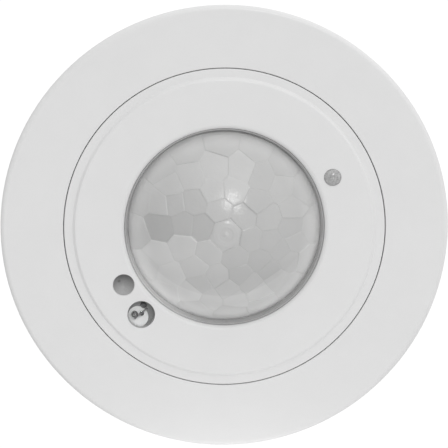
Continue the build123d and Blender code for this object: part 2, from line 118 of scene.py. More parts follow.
FLOOR_R = 0.7
FLOOR_Z = -0.26


def direction(right, up):
    """The unit vector from the object towards this angle in front of it."""
    a, e = math.radians(right), math.radians(up)
    return Vector((math.sin(a) * math.cos(e), -math.cos(a) * math.cos(e), math.sin(e)))


def look_back(thing, away):
    """Turns a camera or lamp that stands in this direction to face the object."""
    thing.rotation_mode = "QUATERNION"
    thing.rotation_quaternion = (-away).to_track_quat("-Z", "Y")


def make_camera():
    half = math.atan(cad_high.x / FRAME_SHARE / CAMERA_DISTANCE)
    data = bpy.data.cameras.new("camera")
    data.sensor_width = FILM_WIDTH
    data.lens = FILM_WIDTH / 2 / math.tan(half)
    data.clip_start = 0.05
    data.clip_end = 20.0
    camera = link("camera", data)
    away = direction(CAMERA_RIGHT, CAMERA_UP)
    camera.location = Vector(AIM) + away * CAMERA_DISTANCE
    look_back(camera, away)
    bpy.context.scene.camera = camera


def make_world():
    """An even white studio, a little brighter above and to the right."""
    world = bpy.data.worlds.new("studio")
    bpy.context.scene.world = world
    world.use_nodes = True
    tree = world.node_tree
    tree.nodes.clear()
    out = tree.nodes.new("ShaderNodeOutputWorld")
    coord = tree.nodes.new("ShaderNodeTexCoord")
    split = tree.nodes.new("ShaderNodeSeparateXYZ")
    tree.links.new(coord.outputs["Generated"], split.inputs[0])
    right = tree.nodes.new("ShaderNodeMath")
    right.operation = "MULTIPLY_ADD"
    right.inputs[1].default_value = WORLD_RIGHT
    right.inputs[2].default_value = WORLD_LEVEL
    tree.links.new(split.outputs["X"], right.inputs[0])
    up = tree.nodes.new("ShaderNodeMath")
    up.operation = "MULTIPLY_ADD"
    up.inputs[1].default_value = WORLD_UP
    tree.links.new(split.outputs["Z"], up.inputs[0])
    tree.links.new(right.outputs[0], up.inputs[2])
    light = tree.nodes.new("ShaderNodeBackground")
    light.inputs["Color"].default_value = (1, 1, 1, 1)
    tree.links.new(up.outputs[0], light.inputs["Strength"])
    white = tree.nodes.new("ShaderNodeBackground")
    white.inputs["Color"].default_value = (1, 1, 1, 1)
    white.inputs["Strength"].default_value = BACKDROP
    path = tree.nodes.new("ShaderNodeLightPath")
    mix = tree.nodes.new("ShaderNodeMixShader")
    tree.links.new(path.outputs["Is Camera Ray"], mix.inputs[0])
    tree.links.new(light.outputs[0], mix.inputs[1])
    tree.links.new(white.outputs[0], mix.inputs[2])
    tree.links.new(mix.outputs[0], out.inputs[0])


def make_softbox():
    """A small square light whose gleam sits above the middle of the lens."""
    data = bpy.data.lights.new("key_softbox", "AREA")
    data.shape = "SQUARE"
    data.size = SOFTBOX_SIZE
    data.energy = SOFTBOX_POWER
    lamp = link("key_softbox", data)
    away = direction(SOFTBOX_RIGHT, SOFTBOX_UP)
    lamp.location = away * SOFTBOX_DISTANCE
    look_back(lamp, away)


def make_strip():
    """The light that the surface under the object throws up at the bottom of its trim ring."""
    data = bpy.data.lights.new("low_strip", "AREA")
    data.shape = "RECTANGLE"
    data.size = STRIP_LONG
    data.size_y = STRIP_WIDE
    data.energy = STRIP_POWER
    lamp = link("low_strip", data)
    lamp.location = STRIP_PLACE
    lamp.rotation_euler = (math.radians(STRIP_TILT), 0, 0)
    lamp.visible_camera = False


def make_floor():
    bm = bmesh.new()
    bmesh.ops.create_circle(bm, cap_ends=True, segments=96, radius=FLOOR_R)
    mesh = bpy.data.meshes.new("floor")
    bm.to_mesh(mesh)
    bm.free()
    floor = link("floor", mesh)
    floor.location = (0, 0, FLOOR_Z)
    mesh.materials.append(paint("floor_white", (0.8, 0.8, 0.8), 0.7, grain_mm=6.0))


# --------------------------------------------------------------------------------------------------
# Materials
# --------------------------------------------------------------------------------------------------


class Shader:
    """A Principled material with small helpers for adding nodes to it."""

    def __init__(self, name, colour, roughness, metallic=0.0):
        self.material = bpy.data.materials.new(name)
        self.material.use_nodes = True
        self.tree = self.material.node_tree
        self.bsdf = self.tree.nodes["Principled BSDF"]
        self.bsdf.inputs["Base Color"].default_value = (*colour, 1)
        self.bsdf.inputs["Roughness"].default_value = roughness
        self.bsdf.inputs["Metallic"].default_value = metallic
        self.colour = colour
        self.coord = self.node("ShaderNodeTexCoord").outputs["Object"]

    def put(self, node, key, value):
        """Sets or links one input: i0, i1 and so on go by number, others by name with _ for a space."""
        name = int(key[1:]) if key[0] == "i" and key[1:].isdigit() else key.replace("_", " ")
        if isinstance(value, bpy.types.NodeSocket):
            self.tree.links.new(value, node.inputs[name])
        else:
            node.inputs[name].default_value = value

    def node(self, kind, **inputs):
        made = self.tree.nodes.new(kind)
        for key, value in inputs.items():
            self.put(made, key, value)
        return made

    def set(self, name, value):
        self.put(self.bsdf, name, value)

    def math(self, operation, a, b=0.0):
        made = self.node("ShaderNodeMath", i0=a, i1=b)
        made.operation = operation
        return made.outputs[0]

    def product(self, *factors):
        total = factors[0]
        for factor in factors[1:]:
            total = self.math("MULTIPLY", total, factor)
        return total

    def range(self, value, low, high, from_low=0.3, from_high=0.7):
        made = self.node("ShaderNodeMapRange", i0=value, i1=from_low, i2=from_high, i3=low, i4=high)
        return made.outputs[0]

    def attribute(self, name):
        made = self.node("ShaderNodeAttribute")
        made.attribute_name = name
        return made.outputs["Fac"]

    def axis(self, letter):
        return self.node("ShaderNodeSeparateXYZ", Vector=self.coord).outputs[letter]

    def across(self, middle=(0, 0, 0)):
        """Distance from the line through this point along the detector's axis."""
        off = self.node("ShaderNodeVectorMath", i0=self.coord, i1=middle)
        off.operation = "SUBTRACT"
        flat = self.node("ShaderNodeVectorMath", i0=off.outputs[0], i1=(1, 0, 1))
        flat.operation = "MULTIPLY"
        away = self.node("ShaderNodeVectorMath", i0=flat.outputs[0])
        away.operation = "LENGTH"
        return away.outputs["Value"]

    def stretched(self, scale):
        """Object coordinates scaled by three factors."""
        return self.node("ShaderNodeMapping", Vector=self.coord, Scale=scale).outputs[0]

    def noise(self, size_mm, detail=2.0, vector=None):
        scale = 1 / (size_mm * MM)
        made = self.node("ShaderNodeTexNoise", Vector=vector or self.coord, Scale=scale, Detail=detail)
        return made.outputs["Fac"]

    def tint(self, factor):
        """The base colour times a number socket."""
        scale = self.node("ShaderNodeVectorMath")
        scale.operation = "SCALE"
        scale.inputs[0].default_value = self.colour
        self.tree.links.new(factor, scale.inputs["Scale"])
        return scale.outputs[0]

    def milky(self, weight, depth_mm):
        self.set("Subsurface Weight", weight)
        self.set("Subsurface Radius", (1.0, 1.0, 1.0))
        self.set("Subsurface Scale", depth_mm * MM)

    def bump(self, height, distance_mm):
        made = self.node("ShaderNodeBump", Height=height, Distance=distance_mm * MM, Strength=1.0)
        self.set("Normal", made.outputs["Normal"])


def paint(name, colour, roughness, speckle=0.02, grain_mm=0.3, bump_mm=0.0, wear=0.05):
    """Moulded plastic or paint: slight mottling, uneven gloss and a fine eroded grain."""
    s = Shader(name, colour, roughness)
    mottle = s.range(s.noise(grain_mm * 22), 1 - speckle, 1 + speckle)
    fine = s.range(s.noise(grain_mm), 1 - speckle * 0.6, 1 + speckle * 0.6)
    s.set("Base Color", s.tint(s.product(mottle, fine)))
    s.set("Roughness", s.range(s.noise(grain_mm * 9), roughness - wear, roughness + wear))
    if bump_mm:
        s.bump(s.noise(grain_mm, 3.0), bump_mm)
    return s.material


def metal(name, colour, roughness, stretch=(1, 1, 1), scratch=0.08, bump_mm=0.004):
    """Drawn or plated metal with streaks along one direction."""
    s = Shader(name, colour, roughness, metallic=1.0)
    streak = s.noise(0.25, 3.0, s.stretched(stretch))
    s.set("Base Color", s.tint(s.range(s.noise(2.5), 0.88, 1.08)))
    s.set("Roughness", s.range(streak, roughness - scratch, roughness + scratch))
    s.bump(streak, bump_mm)
    return s.material


PIPE_GREY = (0.42, 0.42, 0.42)


def frosted_pipe():
    """Cloudy diffusing plastic under a smooth skin that shows the softbox as a small gleam."""
    s = Shader("frosted_pipe", PIPE_GREY, 0.22)
    s.set("Base Color", s.tint(s.range(s.noise(0.45, 4.0), 0.72, 1.28)))
    s.milky(0.4, 1.0)
    s.set("Coat Weight", 0.25)
    s.set("Coat Roughness", 0.16)
    s.bump(s.noise(0.22, 3.0), 0.012)
    return s.material


BEZEL_GREY = (0.455, 0.455, 0.455)
# Painted light on the bezel, strongest towards the lower left
BEZEL_PAINTED_LIGHT = 1.4
BEZEL_PAINTED_LIGHT_FROM = 19 * MM  # towards the lower left
BEZEL_PAINTED_LIGHT_FULL = 24 * MM


def bezel():
    """Pale grey cone with painted light, lightest at the lower left, where light that came through the lens
    falls on it.
    """
    s = Shader("bezel_moulding", BEZEL_GREY, 0.4)
    toward = s.math("ADD", s.product(s.axis("X"), -0.75), s.product(s.axis("Z"), -0.66))
    # painted light: lighter towards the lower left
    glow = s.range(toward, 1.0, BEZEL_PAINTED_LIGHT, BEZEL_PAINTED_LIGHT_FROM, BEZEL_PAINTED_LIGHT_FULL)
    fine = s.range(s.noise(0.35), 0.99, 1.01)
    s.set("Base Color", s.tint(s.product(glow, fine)))
    s.bump(s.noise(0.35, 3.0), 0.006)
    return s.material


SENSOR_GREY = (0.14, 0.14, 0.14)
# Painted light towards the bottom of the sensor window and painted shade towards its top
SENSOR_PAINTED_LIGHT_BOTTOM = 3.6
SENSOR_PAINTED_SHADE_TOP = 0.95
SPECK_LEFT = 1.1 * MM
SPECK_UP = 0.7 * MM
SPECK_DARK = 0.6
SPECK_R = 0.2 * MM
SPECK_SOFT = 0.3 * MM


def sensor_bowl():
    """Grey window of the brightness sensor: painted shade darkens it towards the top and painted light
    lightens it towards the bottom, with a dark speck where the die sits.
    """
    low, high = (Vector(corner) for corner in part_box("light_sensor"))
    middle = (low + high) / 2
    radius = (high.x - low.x) / 2
    bottom, top = middle.z - radius, middle.z + 0.9 * radius
    s = Shader("sensor_window", SENSOR_GREY, 0.35)
    # painted light below, painted shade above
    painted_shading = s.range(s.axis("Z"), SENSOR_PAINTED_LIGHT_BOTTOM, SENSOR_PAINTED_SHADE_TOP, bottom, top)
    away = s.across((middle.x - SPECK_LEFT, low.y, middle.z + SPECK_UP))
    speck = s.range(away, SPECK_DARK, 1.0, SPECK_R, SPECK_R + SPECK_SOFT)
    grain = s.range(s.noise(0.4, 3.0), 0.94, 1.06)
    s.set("Base Color", s.tint(s.product(painted_shading, speck, grain)))
    s.bump(s.noise(0.3, 3.0), 0.008)
    return s.material


def clear_epoxy(name):
    """Clear glass-like resin that lets lamps through."""
    s = Shader(name, (0.97, 0.98, 0.98), 0.04)
    s.set("Transmission Weight", 1.0)
    s.set("IOR", 1.5)
    s.set("Roughness", s.range(s.noise(0.8), 0.02, 0.05))
    s.bump(s.noise(1.5), 0.003)
    path = s.node("ShaderNodeLightPath")
    through = s.node("ShaderNodeBsdfTransparent")
    mix = s.node("ShaderNodeMixShader", i0=path.outputs["Is Shadow Ray"])
    s.tree.links.new(s.bsdf.outputs[0], mix.inputs[1])
    s.tree.links.new(through.outputs[0], mix.inputs[2])
    s.tree.links.new(mix.outputs[0], s.tree.nodes["Material Output"].inputs["Surface"])
    return s.material


# --------------------------------------------------------------------------------------------------
# Lens: a mosaic of small lenses on a dome
# --------------------------------------------------------------------------------------------------

LENS_SPHERE_R = 27.5
LENS_TOP = 15.2
LENS_EDGE_R = 23.6
LENS_WALL = 0.8
LENS_FLANGE_R = 25.1
LENS_FLANGE_TOP = 1.7
LENS_FLANGE_END = 0.9
LENS_FLARE = 0.1  # the step from the faceted edge down to the flange leans out by this
LENS_RINGS = 124  # rings of the mesh from the middle to the edge
UNDERSIDE_SHARES = (1, 0.96, 0.9, 0.8, 0.65, 0.45, 0.2)  # rings of the underside, from its foot inwards

CREASE_DEEP = 0.07
CREASE_WIDE = 0.09
STEP_WIDE = 0.09  # how softly one facet's level passes into the next
FACET_CROWN = 0.006  # how much each facet bulges, per mm
RIM_CROWN = 0.016
RIM_FROM = 20.0  # facets centred outside this radius are the rim's
LEVEL_JITTER = 0.17
LEAN_JITTER = 0.01
SUNK = -0.2
RAISED = 0.24
FADE_FROM = 0.9  # the relief dies away over this last stretch before the edge
FADE_END = 0.05
GROOVE_CENTRE_SHARE = 0.93  # each small lens's grooves are centred a little inwards of its facet
CUT_MARGIN = 0.03  # a mesh edge isn't cut nearer to its ends than this share

# Facets: radius of a ring of facet centres, how far each of its cells reaches, its level, and the
# angles of the centres
FACET_RINGS = (
    (0.0, 0.9, 0.0, (0,)),
    (6.3, 0.0, 0.0, (44, 106, 227, 292, 350)),
    (6.1, 0.0, SUNK, (162,)),
    (11.0, 0.0, 0.0, (18, 46, 79, 106, 135, 197, 229, 258, 290, 321, 350)),
    (10.6, 0.0, SUNK, (167,)),
    (14.4, 0.0, 0.0, (150, 245, 272, 296, 319, 341)),
    (16.0, 0.0, 0.0, (3, 56, 76, 99, 122)),
    (16.1, 0.2, 1.4 * SUNK, (176,)),
    (17.5, 0.0, 0.0, (18, 37, 141, 157, 199, 219, 242, 258, 278, 298, 316, 334, 350)),
    (22.3, 0.6, RAISED, (0, 26, 47, 69, 92, 116, 137, 160, 183, 206, 227, 251, 274, 296, 318, 338)),
)

# Rings in the middle facet: a knob, a low ring round it, and a step down outside that
KNOB_HIGH = 0.26
KNOB_R = 0.42
MIDDLE_STEPS = ((-0.12, 0.5, 0.9), (0.12, 1.6, 1.95), (-0.1, 2.9, 3.4))  # rise, from and to this radius

# Tone: the wall is thicker in some facets than in others, and the rows also paint light and shade from how
# light falls on the facets: lighter at the lower left, where light that came through the lens falls, and at
# the top, near the gleam. Each row shifts the facets whose centres lie between two radii (mm) and two angles
# (degrees), in this order.
ALL_ROUND = 181  # just past both ends of the centres' angles
TONE_SUNK = -0.09
TONE_DEEPEST = -0.08
TONE_JITTER = 0.02
TONE_AND_LIGHT_SHIFTS = (
    (3, 15.5, -75, 0, -0.09),
    (3, 15.5, -125, -75, -0.05),
    (15.5, RIM_FROM, -40, 10, -0.05),
    (9, LENS_EDGE_R, -165, -95, 0.07),
    (15.5, LENS_EDGE_R, -165, -110, 0.08),
    (8, 16, 125, 155, -0.06),
    (3, 8, 20, 70, -0.05),
    (8, LENS_EDGE_R, 0, 60, -0.05),
    (8, RIM_FROM, 70, 110, 0.06),
    (12, RIM_FROM, -95, -50, 0.07),
    (RIM_FROM, LENS_EDGE_R, -ALL_ROUND, ALL_ROUND, -0.05),
)


def facet_seeds():
    """Each facet's centre, reach and level."""
    seeds = []
    for radius, reach, level, angles in FACET_RINGS:
        for degrees in angles:
            seeds.append((*polar(radius, degrees), reach, level))
    return np.array(seeds)


def disc_grid(rings, radius):
    """Points on concentric rings, 6 more on each, and the triangles between them."""
    points = [(0.0, 0.0)]
    start = [0]
    for k in range(1, rings + 1):
        start.append(len(points))
        for i in range(6 * k):
            a = TAU * i / (6 * k)
            points.append((radius * k / rings * math.cos(a), radius * k / rings * math.sin(a)))
    triangles = []
    for k in range(1, rings + 1):
        outer, inner = 6 * k, 6 * (k - 1)
        for s in range(6):
            for j in range(k):
                a = start[k] + (s * k + j) % outer
                b = start[k] + (s * k + j + 1) % outer
                c = start[k - 1] + (s * (k - 1) + j) % inner if inner else 0
                triangles.append((a, b, c))
                if j < k - 1:
                    d = start[k - 1] + (s * (k - 1) + j + 1) % inner
                    triangles.append((c, b, d))
    return np.array(points), triangles


def cell_distances(points, seeds):
    """Distance from each point to each facet's centre, less the facet's reach."""
    d = np.hypot(points[:, None, 0] - seeds[None, :, 0], points[:, None, 1] - seeds[None, :, 1])
    return d - seeds[None, :, 2]


def split_at_cells(points, triangles, seeds):
    """Cuts the triangles along the cells' edges. Returns points, faces, each one's cell, and the creases."""
    reach = cell_distances(points, seeds)
    label = reach.argmin(1)
    points = [tuple(p) for p in points]
    cuts = {}
    made, cells = [], []

    def cut(a, b):
        key = (min(a, b), max(a, b))
        if key not in cuts:
            la, lb = label[a], label[b]
            fa = reach[a, la] - reach[a, lb]
            fb = reach[b, la] - reach[b, lb]
            t = min(1 - CUT_MARGIN, max(CUT_MARGIN, fa / (fa - fb)))
            p, q = points[a], points[b]
            cuts[key] = len(points)
            points.append((p[0] + (q[0] - p[0]) * t, p[1] + (q[1] - p[1]) * t))
        return cuts[key]

    def keep(corners, cell):
        made.append(corners)
        cells.append(cell)

    sharp = set()
    for tri in triangles:
        la = [label[i] for i in tri]
        kinds = len(set(la))
        if kinds == 1:
            keep(tri, la[0])
            continue
        if kinds == 2:
            alone = next(i for i in range(3) if la.count(la[i]) == 1)
            a, b, c = tri[alone], tri[(alone + 1) % 3], tri[(alone + 2) % 3]
            ab, ca = cut(a, b), cut(c, a)
            keep((a, ab, ca), label[a])
            keep((ab, b, c, ca), label[b])
            sharp.add((min(ab, ca), max(ab, ca)))
            continue
        a, b, c = tri
        ab, bc, ca = cut(a, b), cut(b, c), cut(c, a)
        middle = len(points)
        points.append(tuple(sum(points[i][k] for i in tri) / 3 for k in (0, 1)))
        for corner, before, after in ((a, ca, ab), (b, ab, bc), (c, bc, ca)):
            keep((corner, after, middle, before), label[corner])
            sharp.add((min(before, middle), max(before, middle)))
    return np.array(points), made, cells, sharp


def dome_height(r, sphere_r=LENS_SPHERE_R):
    return LENS_TOP - LENS_SPHERE_R + np.sqrt(np.maximum(sphere_r**2 - r**2, 0.01))


def middle_rings(r):
    """Relief of the turned rings in the middle facet."""
    rings = KNOB_HIGH * np.exp(-((r / KNOB_R) ** 2))
    for rise, start, end in MIDDLE_STEPS:
        rings += rise * smoothstep(start, end, r)
    return rings


def facet_relief(points, seeds):
    """Height above the dome: every cell is a shallow lens at its own level, with a crease round it."""
    reach = cell_distances(points, seeds)
    order = np.sort(reach, axis=1)
    inside = (order[:, 1] - order[:, 0]) / 2
    share = np.exp(-(reach - order[:, :1]) / STEP_WIDE)
    share /= share.sum(1, keepdims=True)
    rng = np.random.RandomState(11)
    level = seeds[:, 3] + rng.uniform(-LEVEL_JITTER, LEVEL_JITTER, len(seeds))
    lean = rng.uniform(-1, 1, (len(seeds), 2)) * LEAN_JITTER
    off = points[:, None, :] - seeds[None, :, :2]
    rim = np.hypot(seeds[:, 0], seeds[:, 1]) > RIM_FROM
    crown = np.where(rim, RIM_CROWN, FACET_CROWN)
    surface = level + (off * lean).sum(2) - crown * (off**2).sum(2)
    relief = (share * surface).sum(1) - CREASE_DEEP * np.exp(-inside / CREASE_WIDE)
    r = np.hypot(points[:, 0], points[:, 1])
    relief = np.where(reach.argmin(1) == 0, relief + middle_rings(r), relief)
    fade = smoothstep(LENS_EDGE_R - FADE_END, LENS_EDGE_R - FADE_FROM, r)
    return relief * fade


def facet_tones(seeds):
    """How light each facet is, from its wall's thickness and from painted light and shade."""
    tone = 1 + np.random.RandomState(3).uniform(-TONE_JITTER, TONE_JITTER, len(seeds))
    r = np.hypot(seeds[:, 0], seeds[:, 1])
    angle = np.degrees(np.arctan2(seeds[:, 1], seeds[:, 0]))
    tone[seeds[:, 3] < 0] += TONE_SUNK
    tone[seeds[:, 3] < SUNK] += TONE_DEEPEST
    for near, far, start, end, shift in TONE_AND_LIGHT_SHIFTS:
        tone[(r > near) & (r < far) & (angle > start) & (angle < end)] += shift
    return tone


def lens_faces(seeds):
    """The whole lens in working millimetres: the faceted front, the flange and the hollow underside."""
    grid, triangles = disc_grid(LENS_RINGS, LENS_EDGE_R)
    flat, faces, cells, sharp = split_at_cells(grid, triangles, seeds)
    r = np.hypot(flat[:, 0], flat[:, 1])
    height = dome_height(r) + facet_relief(flat, seeds)
    points = [tuple(p) for p in np.column_stack([flat, height])]
    edge = [i for i in range(len(flat)) if abs(r[i] - LENS_EDGE_R) < 1e-6]
    edge.sort(key=lambda i: math.atan2(flat[i][1], flat[i][0]))
    count = len(edge)
    angles = [math.atan2(flat[i][1], flat[i][0]) for i in edge]

    def ring_points(radius, z):
        first = len(points)
        points.extend((radius * math.cos(a), radius * math.sin(a), z) for a in angles)
        return list(range(first, first + count))

    loops = [edge]
    loops.append(ring_points(LENS_EDGE_R + LENS_FLARE, LENS_FLANGE_TOP))
    loops.append(ring_points(LENS_FLANGE_R, LENS_FLANGE_TOP))
    loops.append(ring_points(LENS_FLANGE_R, LENS_FLANGE_END))
    inner_r = LENS_SPHERE_R - LENS_WALL
    foot = math.sqrt(inner_r**2 - (LENS_FLANGE_END - LENS_TOP + LENS_SPHERE_R) ** 2)
    for share in UNDERSIDE_SHARES:
        loops.append(ring_points(foot * share, float(dome_height(foot * share, inner_r))))
    plain = len(seeds)
    for low, high in zip(loops[:-1], loops[1:]):
        for i in range(count):
            j = (i + 1) % count
            faces.append((low[i], high[i], high[j], low[j]))
            cells.append(plain)
    faces.append(tuple(loops[-1]))
    cells.append(plain)
    return points, faces, cells, sharp


def write_tones(mesh, cells, seeds):
    """Stores each face's tone; the flange and the underside, past the last facet, have 1."""
    tone = np.append(facet_tones(seeds), 1.0)
    shade = mesh.attributes.new("facet_tone", "FLOAT", "FACE")
    shade.data.foreach_set("value", tone[cells].astype(np.float32))


def write_grooves(mesh, points, cells, seeds):
    """Stores at each face corner how far it is from its facet's own centre, for the Fresnel grooves."""
    centre = np.vstack([seeds[:, :2] * GROOVE_CENTRE_SHARE, [[0, 0]]])
    at = np.array(points)[:, :2]
    loops = np.zeros(len(mesh.loops), np.int32)
    mesh.loops.foreach_get("vertex_index", loops)
    total = np.zeros(len(mesh.polygons), np.int32)
    mesh.polygons.foreach_get("loop_total", total)
    cell = np.repeat(np.array(cells), total)
    off = at[loops] - centre[cell]
    data = mesh.attributes.new("groove_mm", "FLOAT", "CORNER")
    data.data.foreach_set("value", np.hypot(off[:, 0], off[:, 1]).astype(np.float32))


def make_lens():
    seeds = facet_seeds()
    points, faces, cells, sharp = lens_faces(seeds)
    mesh = bpy.data.meshes.new("lens_facets")
    mesh.from_pydata([tuple(p) for p in to_row(points)], [], [tuple(f) for f in faces])
    mesh.validate()
    mesh.update()
    mesh.polygons.foreach_set("use_smooth", [True] * len(mesh.polygons))
    edges = {tuple(sorted(e.vertices)): e for e in mesh.edges}
    for key in sharp:
        if key in edges:
            edges[key].use_edge_sharp = True
    write_tones(mesh, cells, seeds)
    write_grooves(mesh, points, cells, seeds)
    lens = link("lens_facets", mesh)
    bpy.context.view_layer.update()
    mesh.materials.append(lens_material())
    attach(lens, "detector")
    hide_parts("lens_dome")


LENS_COLOUR = (0.565, 0.565, 0.562)
GROOVE_STEP_MM = 0.95
GROOVE_STRENGTH = 0.12
LENS_BUMP_MM = 0.035

# Painted shade in the lower part of the lens: a faint arc, darker above it
ARC_MIDDLE = (-1.0 * MM, 0, 7.3 * MM)
ARC_R = 23.2 * MM
ARC_SOFT = 0.4 * MM
ARC_SHADE = 0.93
ARC_TOP = -6 * MM  # the arc shows only in the lower part, fully below ARC_FULL
ARC_FULL = -11 * MM

# Painted light towards the lens's edge, strongest at the bottom
GLOW_FROM = 17.5 * MM
GLOW_FULL = 23.5 * MM
GLOW_POWER = 2.4
GLOW_BOTTOM = 0.85
GLOW_TOP = 0.55
GLOW_BOTTOM_Z = -18 * MM
GLOW_TOP_Z = 14 * MM

GRIT_MIDDLE = (1.6 * MM, 0, 7.8 * MM)
GRIT_DEEP = 0.9
GRIT_FULL_R = 2.5 * MM
GRIT_END_R = 6.5 * MM


def painted_arc_shade(s):
    """Painted shade: the edge of the shade behind the lens, as it shows through it, drawn as a faint arc,
    darker above it.
    """
    edge = s.range(s.across(ARC_MIDDLE), ARC_SHADE, 1.0, ARC_R, ARC_R + ARC_SOFT)
    low = s.range(s.axis("Z"), 0.0, 1.0, ARC_TOP, ARC_FULL)
    return s.math("ADD", 1.0, s.product(low, s.math("SUBTRACT", edge, 1.0)))


def painted_rim_light(s):
    """Painted light: the thin wall lets more light through towards the lens's edge, most of all at the
    bottom.
    """
    edge = s.math("POWER", s.range(s.across(), 0.0, 1.0, GLOW_FROM, GLOW_FULL), GLOW_POWER)
    low = s.range(s.axis("Z"), GLOW_BOTTOM, GLOW_TOP, GLOW_BOTTOM_Z, GLOW_TOP_Z)
    return s.math("ADD", 1.0, s.product(edge, low))


def grit_patch(s):
    """A coarser, sparkling patch of the eroded grain above the middle of the lens."""
    return s.range(s.across(GRIT_MIDDLE), GRIT_DEEP, 0.0, GRIT_FULL_R, GRIT_END_R)


def lens_material():
    """Milky polyethylene: soft, slightly translucent, with fine grooves and an eroded grain."""
    s = Shader("lens_polyethylene", LENS_COLOUR, 0.3)
    cloud = s.range(s.noise(5.0), 0.985, 1.015)
    # Base colour: facet tone, partly painted light and shade, times the painted arc shade and the painted rim
    # light
    s.set("Base Color", s.tint(s.product(s.attribute("facet_tone"), cloud, painted_arc_shade(s), painted_rim_light(s))))
    s.milky(0.12, 1.2)
    s.set("IOR", 1.5)
    s.set("Roughness", s.range(s.noise(0.5, 3.0), 0.14, 0.26))
    wave = s.math("SINE", s.product(s.attribute("groove_mm"), TAU / GROOVE_STEP_MM))
    patch = s.range(s.noise(9.0), 0.0, 1.0, 0.45, 0.6)
    grooves = s.product(wave, s.product(patch, GROOVE_STRENGTH))
    polish = s.math("ADD", s.product(s.noise(0.9, 4.0), 1.2), s.product(s.noise(0.28, 2.0), 0.8))
    grit = s.product(s.noise(0.34, 2.0), grit_patch(s))
    s.bump(s.math("ADD", s.math("ADD", grooves, polish), grit), LENS_BUMP_MM)
    return s.material


# --------------------------------------------------------------------------------------------------
# Finishes of the CAD pieces
# --------------------------------------------------------------------------------------------------


def dress(material, *nodes):
    for node in nodes:
        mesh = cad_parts[node].data
        mesh.materials.clear()
        mesh.materials.append(material)


def dress_mouldings():
    white = paint("white_moulding", (0.8, 0.8, 0.8), 0.42, speckle=0.008, grain_mm=0.35, bump_mm=0.006)
    dress(white, "trim_ring", "front_cover")
    shell = paint("housing_moulding", (0.78, 0.78, 0.775), 0.45, speckle=0.012, grain_mm=0.4, bump_mm=0.01)
    dress(shell, "housing", "rear_cover", "mounting_flange")
    grey = paint("grey_moulding", (0.30, 0.31, 0.32), 0.4, bump_mm=0.008)
    dress(grey, "lens_retainer", "terminal_block", "clip_pad_left", "clip_pad_right")
    black = paint("black_moulding", (0.02, 0.02, 0.02), 0.4, speckle=0.1, bump_mm=0.008)
    dress(black, "board_header", "sensor_shade", "controller_chip", "smoothing_capacitor")
    orange = paint("orange_moulding", (0.78, 0.22, 0.03), 0.35, bump_mm=0.006)
    dress(orange, "time_dial", "light_dial", *[f"terminal_button_{i}" for i in range(1, 5)])
    blue = paint("blue_case", (0.03, 0.11, 0.36), 0.35, bump_mm=0.006)
    dress(blue, "relay", "surge_disc", "dial_bases")
    dress(bezel(), "lens_bezel")
    dress(frosted_pipe(), "led_light_pipe")
    dress(sensor_bowl(), "light_sensor")
    dress(clear_epoxy("led_epoxy"), "status_led")
    dress(clear_epoxy("receiver_epoxy_plain"), "receiver_dome")


def dress_other_pieces():
    foam = paint("foam", (0.03, 0.03, 0.032), 0.9, speckle=0.3, grain_mm=0.5, bump_mm=0.15)
    dress(foam, "flange_gasket")
    tape = paint("winding_tape", (0.70, 0.48, 0.06), 0.3, bump_mm=0.01)
    dress(tape, "transformer_coil")
    ferrite = paint("ferrite", (0.04, 0.04, 0.043), 0.6, speckle=0.2, bump_mm=0.02)
    dress(ferrite, "transformer_core")
    ceramic = paint("ceramic", (0.62, 0.60, 0.53), 0.3, bump_mm=0.006)
    dress(ceramic, "fuse", "pyro_elements")
    laminate = paint("solder_mask", (0.015, 0.12, 0.045), 0.25, speckle=0.1, bump_mm=0.01)
    dress(laminate, "sensor_board", "power_board")
    silicon = paint("infrared_filter", (0.012, 0.010, 0.014), 0.15, speckle=0.05)
    dress(silicon, "pyro_window", "receiver_chip")
    zinc = metal("zinc_plate", (0.60, 0.61, 0.63), 0.32)
    dress(zinc, "lens_screws", "rear_cover_screws", "front_board_screws", "rear_board_screws", "clip_pins")
    spring = metal("spring_steel", (0.46, 0.47, 0.49), 0.3, stretch=(0.2, 3, 3))
    dress(spring, "clip_arm_left", "clip_arm_right", "clip_spring_left", "clip_spring_right")
    nickel = metal("nickel_plate", (0.66, 0.64, 0.60), 0.25)
    dress(nickel, "receiver_frame", "pyro_pins", "pyro_base", "pyro_can")
    brass = metal("brass", (0.70, 0.50, 0.20), 0.3)
    dress(brass, "header_pins", "board_spacers", "terminal_contacts")


# --------------------------------------------------------------------------------------------------
# Small meshes in working millimetres
# --------------------------------------------------------------------------------------------------


def link_mesh(name, bm, material, body, node=None):
    """Turns working millimetres in a bmesh into a smooth piece in the row frame, riding on a body."""
    for v in bm.verts:
        x, y, z = v.co
        v.co = (x * MM, -z * MM, y * MM)
    bmesh.ops.recalc_face_normals(bm, faces=bm.faces)
    mesh = bpy.data.meshes.new(name)
    bm.to_mesh(mesh)
    bm.free()
    mesh.polygons.foreach_set("use_smooth", [True] * len(mesh.polygons))
    mesh.set_sharp_from_angle(angle=math.radians(35))
    mesh.materials.append(material)
    piece = link(name, mesh)
    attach(piece, body)
    if node:
        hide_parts(node)


def add_turned(bm, profile, at=(0, 0), steps=64):
    """A closed solid of revolution from (radius, z) points; a zero radius makes one point on the axis."""
    angles = [TAU * i / steps for i in range(steps)]
    loops = []
    for radius, z in profile:
        if radius == 0:
            loops.append([bm.verts.new((*at, z))])
            continue
        places = [(at[0] + radius * math.cos(a), at[1] + radius * math.sin(a), z) for a in angles]
        loops.append([bm.verts.new(place) for place in places])
    pairs = list(zip(loops, loops[1:]))
    if profile[0][0] != 0:
        pairs.append((loops[-1], loops[0]))
    for low, high in pairs:
        for i in range(steps):
            j = (i + 1) % steps
            corners = [low[i % len(low)], low[j % len(low)], high[j % len(high)], high[i % len(high)]]
            corners = list(dict.fromkeys(corners))
            if len(corners) > 2:
                bm.faces.new(corners)


